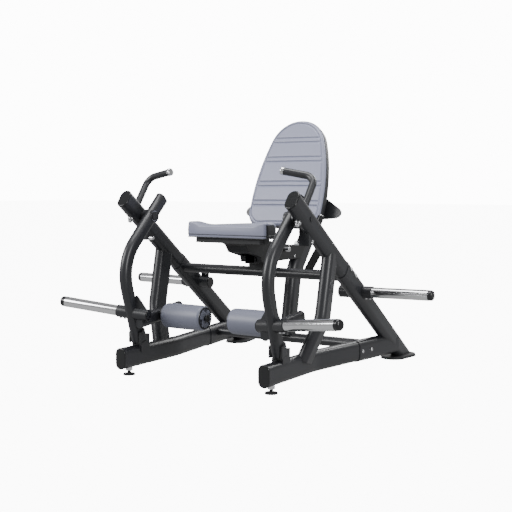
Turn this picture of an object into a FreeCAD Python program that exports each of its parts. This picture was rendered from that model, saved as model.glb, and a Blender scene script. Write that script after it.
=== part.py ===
# Plate-loaded leg machine with two independent lever arms, in millimetres.
#
# X points to the user's left-to-right width, Y to the rear, Z up. The origin is on
# the floor, in the middle of the machine's width and depth. Right-hand pieces are
# drawn and the left-hand ones are their mirror images.
import FreeCAD, Part
import math
import os

import Sketcher
from FreeCAD import Placement, Rotation, Vector

doc = FreeCAD.newDocument("leg_machine")
sheet = doc.addObject("Spreadsheet::Sheet", "Sheet")

# Driving dimensions. Depths are measured rearward from the front of the base tubes.
DIMENSIONS = {
    "mid_depth": 626.3,
    # flat-oval steel tubes: wide is the short axis of the section, tall the long one
    "tube_wall": 3, "base_wide": 55, "base_tall": 100, "upper_wide": 58, "upper_tall": 92,
    "rear_wide": 64, "rear_tall": 98, "bar_wide": 46, "bar_tall": 70, "collar_wall": 3,
    "arm_wide": 46, "arm_tall": 66, "carrier_wide": 42, "carrier_tall": 66,
    # where the side frames stand
    "base_side": 388, "base_height": 84, "base_bend": 420, "base_splay": 8.5, "base_length": 800,
    "upper_side": 455, "upper_depth": 117, "upper_height": 819,
    "foot_side": 486, "foot_depth": 1152, "foot_rise": 44, "foot_plate_depth": 1165,
    "upper_length": 640, "rear_start": 540,
    "foot_plate_long": 220, "foot_plate_wide": 120, "foot_plate_thick": 8, "foot_pad_thick": 5,
    "crossbar_depth": 589, "crossbar_height": 462, "low_bar_depth": 868, "low_bar_height": 100,
    # lever arms
    "pivot_along": 136, "arm_side": 385, "arm_top": 116, "arm_lean": 45.8, "arm_tuck": 17,
    "arm_bend": 210, "arm_foot_depth": 121, "arm_foot_height": 156, "shaft_radius": 12.5,
    "fit_gap": 0.05, "bearing_radius": 26, "bearing_thick": 14,
    # weight horns
    "horn_radius": 25, "sleeve_radius": 29, "horn_height": 288, "horn_inner": 80, "horn_collar": 73,
    "horn_tip": 351, "horn_cap": 25, "spigot_radius": 22, "horn_sweep": 13, "horn_rise": 6.5,
    "store_depth": 711, "store_above": 5, "store_inner": 384, "store_collar": 549,
    "store_tip": 829, "store_cap": 23, "store_rise": 0.7,
    # shin rollers
    "roller_radius": 60, "roller_inner": 76, "roller_outer": 300, "roller_depth": 234,
    "roller_height": 267, "core_radius": 30, "axle_radius": 12.5, "disc_thick": 9,
    "disc_radius": 52,
    # handles
    "handle_radius": 16.5, "handle_tip_side": 318, "handle_tip_depth": 281,
    "handle_tip_height": 944, "handle_corner_height": 918, "handle_bend": 46,
    # seat and back
    "seat_half": 220, "seat_front": 290, "seat_taper": 365, "seat_rear": 615, "seat_rear_half": 75,
    "seat_bottom": 640, "seat_thick": 58, "board_thick": 26, "board_inset": 30,
    "mast_wide": 60, "mast_tall": 104, "rail_wide": 60, "rail_tall": 68, "rail_low": 507,
    "rail_front": 500, "rail_rear": 1000, "back_front": 783, "back_low": 683, "back_lean": 21,
    "back_thick": 56, "shell_thick": 16, "carriage_wall": 8, "slide_gap": 0.6, "pin_radius": 6,
    # levelling feet
    "leveller_depth": 58, "leveller_disc": 28, "leveller_stem": 8,
}
for row, (alias, value) in enumerate(DIMENSIONS.items(), start=1):
    sheet.set(f"A{row}", alias)
    sheet.set(f"B{row}", str(value))
    sheet.setAlias(f"B{row}", alias)
doc.recompute()

X_AXIS, Y_AXIS, Z_AXIS = Vector(1, 0, 0), Vector(0, 1, 0), Vector(0, 0, 1)


def dim(alias):
    """The number in a driving cell."""
    return float(sheet.get(alias))


def at(side, depth, height):
    """A point of the machine from its side, its depth behind the front and its height."""
    return Vector(side, depth - dim("mid_depth"), height)


def facing(origin, along, toward):
    """Placement with local Z along one direction and local Y as near as can be to another."""
    axis = Vector(along).normalize()
    across = Vector(toward).cross(axis).normalize()
    return Placement(origin, Rotation(across, axis.cross(across), axis, "ZXY"))


# ---------------------------------------------------------------- drawing helpers
parts = {}


def keep(name, thing):
    """Name a finished sub-part, so that it becomes one file."""
    thing.Label = name
    parts[name] = thing
    return thing


def bind(thing, **expressions):
    for prop, expression in expressions.items():
        thing.setExpression(prop, expression)
    return thing


def cylinder(radius, length, place):
    """A round bar from the placement's origin along its local Z."""
    bar = doc.addObject("Part::Cylinder", "Round")
    bar.Placement = place
    return bind(bar, Radius=radius, Height=length)


def box(length, width, height, place):
    block = doc.addObject("Part::Box", "Block")
    block.Placement = place
    return bind(block, Length=length, Width=width, Height=height)


def cut(base, *tools):
    """The base with every tool taken out of it."""
    for tool in tools:
        step = doc.addObject("Part::Cut", "Cut")
        step.Base = base
        step.Tool = tool
        base = step
    return base


def fuse(*pieces):
    joined = doc.addObject("Part::MultiFuse", "Joined")
    joined.Shapes = list(pieces)
    joined.Refine = True
    return joined


def group(*pieces):
    """Separate solids that share one node."""
    bunch = doc.addObject("Part::Compound", "Group")
    bunch.Links = list(pieces)
    return bunch


def rounded(piece, radius, keep_edge=lambda edge: True):
    """Round the chosen edges of a piece."""
    doc.recompute()
    soft = doc.addObject("Part::Fillet", "Rounded")
    soft.Base = piece
    chosen = [(i, radius, radius) for i, edge in enumerate(piece.Shape.Edges, start=1) if keep_edge(edge)]
    soft.Edges = chosen
    return soft


def mirrored(piece):
    """The left-hand twin of a right-hand piece."""
    twin = doc.addObject("Part::Mirroring", "Twin")
    twin.Source = piece
    twin.Base = Vector(0, 0, 0)
    twin.Normal = X_AXIS
    return twin


def pair(name, piece):
    keep("right_" + name, piece)
    keep("left_" + name, mirrored(piece))


def both(piece):
    return [piece, mirrored(piece)]


def plane_of(body, role):
    return next(f for f in body.Origin.OriginFeatures if f.Role == role)


def add_sketch(body, name, role):
    sketch = body.newObject("Sketcher::SketchObject", name)
    sketch.AttachmentSupport = [(plane_of(body, role), "")]
    sketch.MapMode = "FlatFace"
    return sketch


def name_last(sketch, name, expression):
    """Drive a sketch's newest constraint from the sheet."""
    sketch.renameConstraint(sketch.ConstraintCount - 1, name)
    sketch.setExpression(f"Constraints.{name}", str(expression))


def draw_oval(sketch, tag, wide, tall, inset=""):
    """One flat-oval loop, long axis along the sketch's Y, sizes given as expressions."""
    half = (evaluate(wide) - 2 * evaluate(inset or "0")) / 2
    reach = (evaluate(tall) - evaluate(wide)) / 2
    first = sketch.GeometryCount
    sketch.addGeometry([
        Part.ArcOfCircle(Part.Circle(Vector(0, reach, 0), Z_AXIS, half), 0, math.pi),
        Part.LineSegment(Vector(-half, reach, 0), Vector(-half, -reach, 0)),
        Part.ArcOfCircle(Part.Circle(Vector(0, -reach, 0), Z_AXIS, half), math.pi, 2 * math.pi),
        Part.LineSegment(Vector(half, -reach, 0), Vector(half, reach, 0)),
    ], False)
    for turn in range(4):
        sketch.addConstraint(Sketcher.Constraint("Tangent", first + turn, 2, first + (turn + 1) % 4, 1))
    sketch.addConstraint(Sketcher.Constraint("PointOnObject", first, 3, -2))
    sketch.addConstraint(Sketcher.Constraint("Symmetric", first, 3, first + 2, 3, -1, 1))
    sketch.addConstraint(Sketcher.Constraint("Radius", first, half))
    name_last(sketch, tag + "_radius", f"({wide}) / 2 - ({inset or 0})")
    sketch.addConstraint(Sketcher.Constraint("Distance", first, 3, first + 2, 3, 2 * reach))
    name_last(sketch, tag + "_reach", f"({tall}) - ({wide})")


def evaluate(expression):
    """The value of an expression over the sheet's cells."""
    result = sheet.evalExpression(str(expression).replace("Sheet.", ""))
    return float(getattr(result, "Value", result))


def straight_oval(name, wide, tall, length, place, wall=None):
    """A straight flat-oval tube, or a solid bar of that outline where no wall is given."""
    body = doc.addObject("PartDesign::Body", name)
    profile = add_sketch(body, name + "_profile", "XY_Plane")
    draw_oval(profile, "outer", wide, tall)
    if wall:
        draw_oval(profile, "inner", wide, tall, wall)
    pad = body.newObject("PartDesign::Pad", name + "_pad")
    pad.Profile = profile
    pad.setExpression("Length", str(length))
    body.Placement = place
    return body


def trace(sketch, corners, radius):
    """Straight runs through the corners, each corner rounded by the same tangent arc."""
    cursor = corners[0]
    arc_number = None
    for before, corner, after in zip(corners, corners[1:], corners[2:]):
        arriving = (corner - before).normalize()
        leaving = (after - corner).normalize()
        half_turn = arriving.getAngle(leaving) / 2
        trim = evaluate(radius) * math.tan(half_turn)
        inward = (leaving - arriving).normalize()
        crown = corner + inward * evaluate(radius) * (1 / math.cos(half_turn) - 1)
        first, last = corner - arriving * trim, corner + leaving * trim
        line = sketch.addGeometry(Part.LineSegment(cursor, first), False)
        sketch.addConstraint(Sketcher.Constraint("Block", line))
        arc_number = sketch.addGeometry(Part.Arc(first, crown, last), False)
        cursor = last
    sketch.addGeometry(Part.LineSegment(cursor, corners[-1]), False)
    sketch.addConstraint(Sketcher.Constraint("Radius", arc_number, evaluate(radius)))
    name_last(sketch, "bend", radius)


def bent_tube(name, draw, points, radius, edgewise=False):
    """A section swept along runs and arcs that lie in one plane.

    The section's Y axis lies in that plane, or square to it when the tube is bent edgewise.
    """
    place = facing(points[0], points[1] - points[0], points[2] - points[1])
    body = doc.addObject("PartDesign::Body", name)
    profile = add_sketch(body, name + "_profile", "XY_Plane")
    draw(profile)
    if edgewise:
        profile.AttachmentOffset = Placement(Vector(0, 0, 0), Rotation(Z_AXIS, 90))
    path = add_sketch(body, name + "_path", "YZ_Plane")
    local = [place.inverse().multVec(point) for point in points]
    trace(path, [Vector(spot.y, spot.z, 0) for spot in local], radius)
    doc.recompute()
    pipe = body.newObject("PartDesign::AdditivePipe", name + "_pipe")
    pipe.Profile = profile
    pipe.Spine = (path, [f"Edge{i + 1}" for i in range(len(path.Shape.Edges))])
    body.Placement = place
    return body


def oval_section(wide, tall, wall=None):
    def draw(profile):
        draw_oval(profile, "outer", wide, tall)
        if wall:
            draw_oval(profile, "inner", wide, tall, wall)
    return draw


def ring_section(radius, wall):
    def draw(profile):
        for tag, size in (("outer", radius), ("inner", f"{radius} - {wall}")):
            profile.addGeometry(Part.Circle(Vector(0, 0, 0), Z_AXIS, evaluate(size)), False)
            circle = profile.GeometryCount - 1
            profile.addConstraint(Sketcher.Constraint("Coincident", circle, 3, -1, 1))
            profile.addConstraint(Sketcher.Constraint("Radius", circle, evaluate(size)))
            name_last(profile, tag + "_radius", size)
    return draw


def far_edges(place, reach):
    """Chooses the edges that lie at a distance along a placement's Z axis."""
    axis = place.Rotation.multVec(Z_AXIS)

    def chosen(edge):
        return all(abs((v.Point - place.Base).dot(axis) - reach) < 0.01 for v in edge.Vertexes)
    return chosen


CAP_THICK, CAP_ROUND, CAP_LIP = 7, 5, 0.8


def oval_cap(wide, tall, place):
    """A domed plastic cap on the end of an oval tube."""
    cap = straight_oval("Cap", f"{wide} + 2 * {CAP_LIP}", f"{tall} + 2 * {CAP_LIP}", CAP_THICK, place)
    return rounded(cap, CAP_ROUND, far_edges(place, CAP_THICK))


def round_cap(radius, length, place, softness):
    return rounded(cylinder(radius, length, place), softness, far_edges(place, evaluate(length)))


def ring(outer, inner, length, place):
    return cut(cylinder(outer, length, place), cylinder(inner, length, place))


def bolt_head(spot, direction, radius=8.5, thick=6):
    """A domed chrome bolt head standing on a face."""
    place = facing(spot, direction, X_AXIS if abs(Vector(direction).x) < 0.9 else Z_AXIS)
    return round_cap(str(radius), str(thick), place, 3)


def plate(name, outline, thick, place):
    """A flat plate from a closed outline of points, in the placement's XY plane."""
    body = doc.addObject("PartDesign::Body", name)
    sketch = add_sketch(body, name + "_outline", "XY_Plane")
    for start, end in zip(outline, outline[1:] + outline[:1]):
        sketch.addGeometry(Part.LineSegment(Vector(*start, 0), Vector(*end, 0)), False)
    for i in range(len(outline)):
        sketch.addConstraint(Sketcher.Constraint("Coincident", i, 2, (i + 1) % len(outline), 1))
    pad = body.newObject("PartDesign::Pad", name + "_pad")
    pad.Profile = sketch
    pad.setExpression("Length", thick)
    body.Placement = place
    return body


# ---------------------------------------------------------------- side frames
STEEL_WALL = "Sheet.tube_wall"
front_cap_centre = at(dim("upper_side"), dim("upper_depth"), dim("upper_height"))
rear_ground = at(dim("foot_side"), dim("foot_depth"), dim("foot_rise"))
down_tube = (rear_ground - front_cap_centre).normalize()
off_tube = (Z_AXIS - down_tube * Z_AXIS.dot(down_tube)).normalize()
side_of_tube = off_tube.cross(down_tube).normalize()
if side_of_tube.x < 0:
    side_of_tube = side_of_tube * -1


def on_tube(along, above=0, outward=0):
    """A point of the inclined tube, from its front end, above its axis and to its outer side."""
    return front_cap_centre + down_tube * along + off_tube * above + side_of_tube * outward


upper_place = facing(on_tube(0), down_tube, off_tube)
upper_tube = straight_oval("Upper", "Sheet.upper_wide", "Sheet.upper_tall", "Sheet.upper_length",
                           upper_place, STEEL_WALL)
upper_solid = straight_oval("UpperSolid", "Sheet.upper_wide", "Sheet.upper_tall", "Sheet.upper_length",
                            upper_place)

REAR_LENGTH = 900
rear_place = facing(on_tube(dim("rear_start")), down_tube, off_tube)
rear_tube = straight_oval("Rear", "Sheet.rear_wide", "Sheet.rear_tall", REAR_LENGTH, rear_place, STEEL_WALL)
rear_solid = straight_oval("RearSolid", "Sheet.rear_wide", "Sheet.rear_tall", REAR_LENGTH, rear_place)

# base tubes run straight back, then splay outward to the rear feet
splay = math.radians(dim("base_splay"))
splayed = Vector(math.sin(splay), math.cos(splay), 0)
base_front = at(dim("base_side"), 0, dim("base_height"))
base_corner = at(dim("base_side"), dim("base_bend"), dim("base_height"))
base_end = base_corner + splayed * (dim("base_length") - dim("base_bend"))
BASE_BEND_RADIUS = 400
base_points = [base_front, base_corner, base_end]
base_tube = bent_tube("Base", oval_section("Sheet.base_wide", "Sheet.base_tall", STEEL_WALL),
                      base_points, BASE_BEND_RADIUS, edgewise=True)
base_solid = bent_tube("BaseSolid", oval_section("Sheet.base_wide", "Sheet.base_tall"),
                       base_points, BASE_BEND_RADIUS, edgewise=True)

SOCKET_LAP, SOCKET_LENGTH = 40, 345
socket_start = base_end - splayed * SOCKET_LAP
socket_place = facing(socket_start, splayed, Z_AXIS)
SOCKET_SIZE = ("Sheet.base_wide + 2 * Sheet.collar_wall", "Sheet.base_tall + 2 * Sheet.collar_wall")
socket = straight_oval("Socket", *SOCKET_SIZE, SOCKET_LENGTH, socket_place, "Sheet.collar_wall")
socket_solid = straight_oval("SocketSolid", *SOCKET_SIZE, SOCKET_LENGTH, socket_place)

# posts lean outward from the base, then stand up to the inclined tube
post_points = [at(398, 322, 100), at(464, 371, 285), at(467, 436, 575)]
POST_BEND = 160
post_tube = bent_tube("Post", oval_section("Sheet.base_wide", "Sheet.base_tall", STEEL_WALL),
                      post_points, POST_BEND, edgewise=True)

# oval rear feet, each a rubber pad under a steel plate
pad_place = Placement(at(dim("foot_side"), dim("foot_plate_depth"), 0),
                      Rotation(Z_AXIS, -math.degrees(splay)))
foot_pad = straight_oval("FootPad", "Sheet.foot_plate_wide + 6", "Sheet.foot_plate_long + 6",
                         "Sheet.foot_pad_thick", pad_place)
foot_place = Placement(pad_place.Base + Z_AXIS * dim("foot_pad_thick"), pad_place.Rotation)
foot_plate = straight_oval("FootPlate", "Sheet.foot_plate_wide", "Sheet.foot_plate_long",
                           "Sheet.foot_plate_thick", foot_place)
foot_top = dim("foot_pad_thick") + dim("foot_plate_thick")
ground_block = box("600", "600", str(foot_top + 200), Placement(at(200, 900, -200), Rotation()))

# ---------------------------------------------------------------- pivots and horns
pivot = on_tube(dim("pivot_along"))
SHAFT_INNER, SHAFT_OUTER, SPACER_INNER = 356.4, 490, 412.6
shaft_place = facing(Vector(SHAFT_INNER, pivot.y, pivot.z), X_AXIS, Z_AXIS)
shaft_round = cylinder("Sheet.shaft_radius", str(SHAFT_OUTER - SHAFT_INNER), shaft_place)
shaft_flange = cylinder("Sheet.shaft_radius + 8", "3", shaft_place)
spacer_place = facing(Vector(SPACER_INNER, pivot.y, pivot.z), X_AXIS, Z_AXIS)
spacer = cylinder("Sheet.shaft_radius + 8", "40", spacer_place)
pivot_shaft = fuse(shaft_round, shaft_flange, cut(spacer, upper_solid))

horn_heading = Vector(math.cos(math.radians(dim("horn_sweep"))) * math.cos(math.radians(dim("horn_rise"))),
                      -math.sin(math.radians(dim("horn_sweep"))) * math.cos(math.radians(dim("horn_rise"))),
                      math.sin(math.radians(dim("horn_rise"))))


CAP_RELIEF = 0.5     # lets a plate slide over the cap and onto the bar


def horn_set(centre, heading, inner, collar_end, tip, cap_length):
    """Sleeve, chrome bar and end cap of a weight horn, and the sleeve's solid outline."""
    sleeve_place = facing(centre - heading * inner, heading, Z_AXIS)
    span = str(inner + collar_end)
    sleeve = ring("Sheet.sleeve_radius", "Sheet.spigot_radius + Sheet.fit_gap", span, sleeve_place)
    outline = cylinder("Sheet.sleeve_radius", span, sleeve_place)
    socket_depth = min(inner + collar_end, 140) - 10
    bar = fuse(cylinder("Sheet.horn_radius", str(tip - collar_end),
                        facing(centre + heading * collar_end, heading, Z_AXIS)),
               cylinder("Sheet.spigot_radius", str(tip - collar_end + socket_depth),
                        facing(centre + heading * (collar_end - socket_depth), heading, Z_AXIS)))
    cap = round_cap(f"Sheet.horn_radius - {CAP_RELIEF}", str(cap_length),
                    facing(centre + heading * tip, heading, Z_AXIS), 12)
    plug_place = facing(centre - heading * inner, heading * -1, Z_AXIS)
    plug = round_cap("Sheet.sleeve_radius + 0.5", "6", plug_place, 4)
    return sleeve, outline, bar, cap, plug


store_centre = on_tube((dim("store_depth") - dim("upper_depth")) / down_tube.y, dim("store_above"))
store_rise = math.radians(dim("store_rise"))
store_heading = Vector(math.cos(store_rise), 0, math.sin(store_rise))
store_sleeve, store_outline, store_bar, store_cap, store_plug = horn_set(
    store_centre, store_heading, store_centre.x - dim("store_inner"), dim("store_collar") - store_centre.x,
    dim("store_tip") - store_centre.x, dim("store_cap"))
LUG_LONG, LUG_SHEET, LUG_TALL = 44, 8, 62
lug_block = box(str(LUG_LONG), str(LUG_SHEET), str(LUG_TALL),
                Placement(Vector(dim("store_inner") + 8, store_centre.y - LUG_SHEET / 2, store_centre.z),
                          Rotation()))
store_lug = cut(lug_block, rear_solid, upper_solid, store_outline)
lug_bolt = bolt_head(Vector(dim("store_inner") + 24, store_centre.y - LUG_SHEET / 2, store_centre.z + 44),
                     Y_AXIS * -1, 6, 4)

# ---------------------------------------------------------------- handles
HANDLE_ALONG = 94
tube_root = on_tube(HANDLE_ALONG)
rise = (dim("handle_corner_height") - tube_root.z) / off_tube.z
handle_corner = tube_root + off_tube * rise
handle_tip = at(dim("handle_tip_side"), dim("handle_tip_depth"), dim("handle_tip_height"))
handle = bent_tube("Handle", ring_section("Sheet.handle_radius", "Sheet.tube_wall"),
                   [on_tube(HANDLE_ALONG, -dim("upper_tall") / 2), handle_corner, handle_tip],
                   "Sheet.handle_bend")
grip_heading = (handle_tip - handle_corner).normalize()
handle_cap = round_cap("Sheet.handle_radius + 2", "16", facing(handle_tip, grip_heading, Z_AXIS), 6)
under_tube = -dim("upper_tall") / 2
handle_nut = cut(fuse(bolt_head(on_tube(HANDLE_ALONG, under_tube + 4), off_tube * -1, 15, 12),
                      bolt_head(on_tube(HANDLE_ALONG, under_tube - 8), off_tube * -1, 10, 12)), upper_solid,
                 cylinder("Sheet.handle_radius", "60",
                          facing(on_tube(HANDLE_ALONG, under_tube), off_tube, X_AXIS)))

# swing stop: a knob and stud through the inclined tube, and a stop bolt on a bracket
STOP_ALONG = 236
stop_nut = cut(bolt_head(on_tube(STOP_ALONG, under_tube + 4), off_tube * -1, 11, 18), upper_solid)
stop_knob_place = facing(on_tube(STOP_ALONG, -under_tube - 4), off_tube, X_AXIS)
KNOB_TALL = 42
stop_knob = cut(round_cap("15", str(KNOB_TALL), stop_knob_place, 4), upper_solid)
stop_top = round_cap("10", "6", facing(on_tube(STOP_ALONG, -under_tube - 4 + KNOB_TALL), off_tube, X_AXIS),
                     3)
BUFFER_RADIUS, BUFFER_INNER, BUFFER_OUTER = 9, 390, 420
buffer_place = facing(at(BUFFER_INNER, 252, 630), X_AXIS, Z_AXIS)
stop_buffer = rounded(cylinder(str(BUFFER_RADIUS), str(BUFFER_OUTER - BUFFER_INNER), buffer_place), 3,
                      lambda edge: edge.CenterOfMass.x < BUFFER_INNER + 1 and len(edge.Vertexes) == 1)
stop_bracket = cut(box("50", "26", "80", Placement(at(BUFFER_OUTER, 234, 621), Rotation())), upper_solid)

# ---------------------------------------------------------------- cross members and mast
CROSS_REACH, LOW_REACH = 472, 452
cross_place = facing(at(-CROSS_REACH, dim("crossbar_depth"), dim("crossbar_height")), X_AXIS, Y_AXIS)
BAR_SIZE = ("Sheet.bar_wide", "Sheet.bar_tall")
crossbar = straight_oval("Crossbar", *BAR_SIZE, 2 * CROSS_REACH, cross_place, STEEL_WALL)
crossbar_solid = straight_oval("CrossbarSolid", *BAR_SIZE, 2 * CROSS_REACH, cross_place)
low_place = facing(at(-LOW_REACH, dim("low_bar_depth"), dim("low_bar_height")), X_AXIS, Y_AXIS)
low_bar = straight_oval("LowBar", *BAR_SIZE, 2 * LOW_REACH, low_place, STEEL_WALL)
low_bar_solid = straight_oval("LowBarSolid", *BAR_SIZE, 2 * LOW_REACH, low_place)
# the mast stands on the lower bar, bends rearward under the back rest and carries it
mast_points = [at(0, 862, 110), at(0, 925, 440), at(0, 1180, 755)]
MAST_BEND = 170
MAST_SIZE = ("Sheet.mast_wide", "Sheet.mast_tall")
mast = bent_tube("Mast", oval_section(*MAST_SIZE, STEEL_WALL), mast_points, MAST_BEND)
mast_solid = bent_tube("MastSolid", oval_section(*MAST_SIZE), mast_points, MAST_BEND)
mast_heading = (mast_points[2] - mast_points[1]).normalize()
mast_cap = oval_cap(*MAST_SIZE, facing(mast_points[2], mast_heading, Y_AXIS))

# ---------------------------------------------------------------- seat structure
rail_place = Placement(at(-dim("rail_wide") / 2, dim("rail_front"), dim("rail_low")), Rotation())
RAIL_WALL = 4
rail_solid = box("Sheet.rail_wide", "Sheet.rail_rear - Sheet.rail_front", "Sheet.rail_tall", rail_place)
rail_hole = box(f"Sheet.rail_wide - {2 * RAIL_WALL}", "Sheet.rail_rear - Sheet.rail_front",
                f"Sheet.rail_tall - {2 * RAIL_WALL}",
                Placement(rail_place.Base + Vector(RAIL_WALL, 0, RAIL_WALL), Rotation()))
rail = cut(rail_solid, rail_hole)
rail_block_base = dim("crossbar_height")
rail_block = cut(box("86", "64", str(dim("rail_low") - rail_block_base),
                     Placement(at(-43, dim("crossbar_depth") - 32, rail_block_base), Rotation())),
                 crossbar_solid)

# carriage: an upside-down channel that slides on the rail and carries the seat
CARRIAGE_FRONT, CARRIAGE_LENGTH, CARRIAGE_LOW, LINER = 545, 255, 514, 3
SEAT_TRAVEL = 60
slide_gap = dim("slide_gap")


def saddle(shell, gap, low, length, start):
    """An upside-down channel over the rail, with its inside a gap away from the rail."""
    half = dim("rail_wide") / 2 + gap
    top = dim("rail_low") + dim("rail_tall") + gap
    outer = box(str(2 * (half + shell)), str(length), str(top + shell - low),
                Placement(at(-half - shell, start, low), Rotation()))
    inner = box(str(2 * half), str(length), str(top - low), Placement(at(-half, start, low), Rotation()))
    return cut(outer, inner)


liner = saddle(LINER, slide_gap, CARRIAGE_LOW + 6, CARRIAGE_LENGTH - 20, CARRIAGE_FRONT + 10)
carriage = saddle(dim("carriage_wall"), slide_gap + LINER, CARRIAGE_LOW, CARRIAGE_LENGTH, CARRIAGE_FRONT)
carriage_side = dim("rail_wide") / 2 + slide_gap + LINER + dim("carriage_wall")
carriage_top = dim("rail_low") + dim("rail_tall") + slide_gap + LINER + dim("carriage_wall")
carriage_solid = box(str(2 * carriage_side), str(CARRIAGE_LENGTH), str(carriage_top - CARRIAGE_LOW),
                     Placement(at(-carriage_side, CARRIAGE_FRONT, CARRIAGE_LOW), Rotation()))

# seat bracket: a sheet tray under the board, with ribs that stand on the carriage
BRACKET_HALF, BRACKET_SHEET, BRACKET_REAR = 60, 6, 602
board_low = dim("seat_bottom") - dim("board_thick")
yz_plane = Rotation(Y_AXIS, Z_AXIS, X_AXIS, "ZXY")


def side_outline(points):
    """Points of a side view, from their depth and height."""
    return [(depth - dim("mid_depth"), height) for depth, height in points]


bracket_outer = plate("BracketOuter", side_outline([
    (345, board_low), (375, 601), (400, 567), (504, 541), (512, 514), (BRACKET_REAR, 514),
    (BRACKET_REAR, board_low)]),
    str(2 * BRACKET_HALF), Placement(Vector(-BRACKET_HALF, 0, 0), yz_plane))
inner_half = BRACKET_HALF - BRACKET_SHEET
bracket_inner = plate("BracketInner", side_outline([
    (351, board_low + 1), (380, 604), (404, 573), (508, 547), (516, 520), (BRACKET_REAR + 1, 520),
    (BRACKET_REAR + 1, board_low + 1)]),
    str(2 * inner_half), Placement(Vector(-inner_half, 0, 0), yz_plane))
RIB_DEPTHS = (556, 590)
ribs = [box(str(2 * inner_half), str(BRACKET_SHEET), str(board_low - 519),
            Placement(at(-inner_half, depth, 519), Rotation())) for depth in RIB_DEPTHS]
rail_room = box(str(2 * (dim("rail_wide") / 2 + slide_gap + LINER)), "500",
                str(dim("rail_tall") + slide_gap + LINER + 20),
                Placement(at(-dim("rail_wide") / 2 - slide_gap - LINER, dim("rail_front") - SEAT_TRAVEL - 10,
                             dim("rail_low") - 20), Rotation()))
seat_bracket = cut(fuse(cut(bracket_outer, bracket_inner), *ribs), rail_room, carriage_solid)


def seat_outline(inset):
    """Square front corners, then sides that draw in toward the back rest."""
    half, rear_half = dim("seat_half") - inset, dim("seat_rear_half") - inset * 0.8
    front, rear = dim("seat_front") + inset * 0.6, dim("seat_rear") - inset * 0.6
    return [(-half, front), (half, front), (half, dim("seat_taper")), (rear_half, rear), (-rear_half, rear),
            (-half, dim("seat_taper"))]


def upright_edges(edge):
    start, end = edge.Vertexes[0].Point, edge.Vertexes[-1].Point
    return math.hypot(start.x - end.x, start.y - end.y) < 0.01


seat_board = rounded(plate("SeatBoard", seat_outline(dim("board_inset")), "Sheet.board_thick",
                           Placement(at(0, 0, board_low), Rotation())), 20, upright_edges)
seat_top = dim("seat_bottom") + dim("seat_thick")
seat_block = rounded(plate("SeatCushion", seat_outline(0), "Sheet.seat_thick",
                           Placement(at(0, 0, dim("seat_bottom")), Rotation())), 18, upright_edges)
seat_cushion = rounded(seat_block, 10, lambda edge: abs(edge.CenterOfMass.z - seat_top) < 0.01)

# ---------------------------------------------------------------- back rest on the mast
lean = math.radians(dim("back_lean"))
up_back = Vector(0, math.sin(lean), math.cos(lean))
out_back = Vector(0, -math.cos(lean), math.sin(lean))


def behind_front(layer):
    """Bottom middle of a layer of the back rest, that far behind its front face."""
    return at(0, dim("back_front"), dim("back_low")) - out_back * layer


def back_outline(sketch, inset):
    """Egg outline: a round head on sides that bow outward, and soft lower corners."""
    head, head_height = 160 - inset, 416
    shoulder = math.atan2(469 - head_height, 151)
    neck = Vector(head * math.cos(shoulder), head_height + head * math.sin(shoulder), 0)
    hip, waist = Vector(208 - inset, 88, 0), Vector(201 - inset, 258, 0)
    foot, heel = Vector(150 - inset * 0.5, inset, 0), Vector(193 - inset * 0.9, 28 + inset * 0.6, 0)

    def other(spot):
        return Vector(-spot.x, spot.y, 0)
    sketch.addGeometry([
        Part.ArcOfCircle(Part.Circle(Vector(0, head_height, 0), Z_AXIS, head), shoulder, math.pi - shoulder),
        Part.Arc(other(neck), other(waist), other(hip)),
        Part.Arc(other(hip), other(heel), other(foot)),
        Part.LineSegment(other(foot), foot),
        Part.Arc(foot, heel, hip),
        Part.Arc(hip, waist, neck),
    ], False)


def back_layer(name, inset, layer, thick):
    body = doc.addObject("PartDesign::Body", name)
    sketch = add_sketch(body, name + "_outline", "XY_Plane")
    back_outline(sketch, inset)
    pad = body.newObject("PartDesign::Pad", name + "_pad")
    pad.Profile = sketch
    pad.setExpression("Length", thick)
    body.Placement = facing(behind_front(layer), out_back, up_back)
    return body


back_cushion = back_layer("BackCushion", 0, dim("back_thick"), "Sheet.back_thick")
shell_back = dim("back_thick") + dim("shell_thick")
back_shell = back_layer("BackShell", 8, shell_back, "Sheet.shell_thick")

WING_SHEET, WING_GAP = 6, 22
wing_place = facing(behind_front(shell_back + WING_GAP + WING_SHEET), out_back, up_back)
wing_right = [(0, 243), (70, 243), (125, 218), (270, 124), (280, 112), (282, 98), (274, 84), (258, 75),
              (150, 64), (60, 30), (0, 30)]
wing_outline = wing_right + [(-x, y) for x, y in reversed(wing_right) if x > 0]
wing_plate = plate("WingPlate", wing_outline, str(WING_SHEET), wing_place)
web_outline = side_outline([(840, 700), (890, 824), (1140, 792), (1186, 742), (1105, 700)])
WEB_INNER, WEB_SHEET = dim("mast_wide") / 2, 6
web = plate("Web", web_outline, str(WEB_SHEET), Placement(Vector(WEB_INNER, 0, 0), yz_plane))
wing_block = plate("WingBlock", [(-300, -100), (300, -100), (300, 700), (-300, 700)], "300",
                   facing(behind_front(shell_back), out_back, up_back))
webs = [cut(web, wing_block), mirrored(cut(web, wing_block))]

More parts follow.
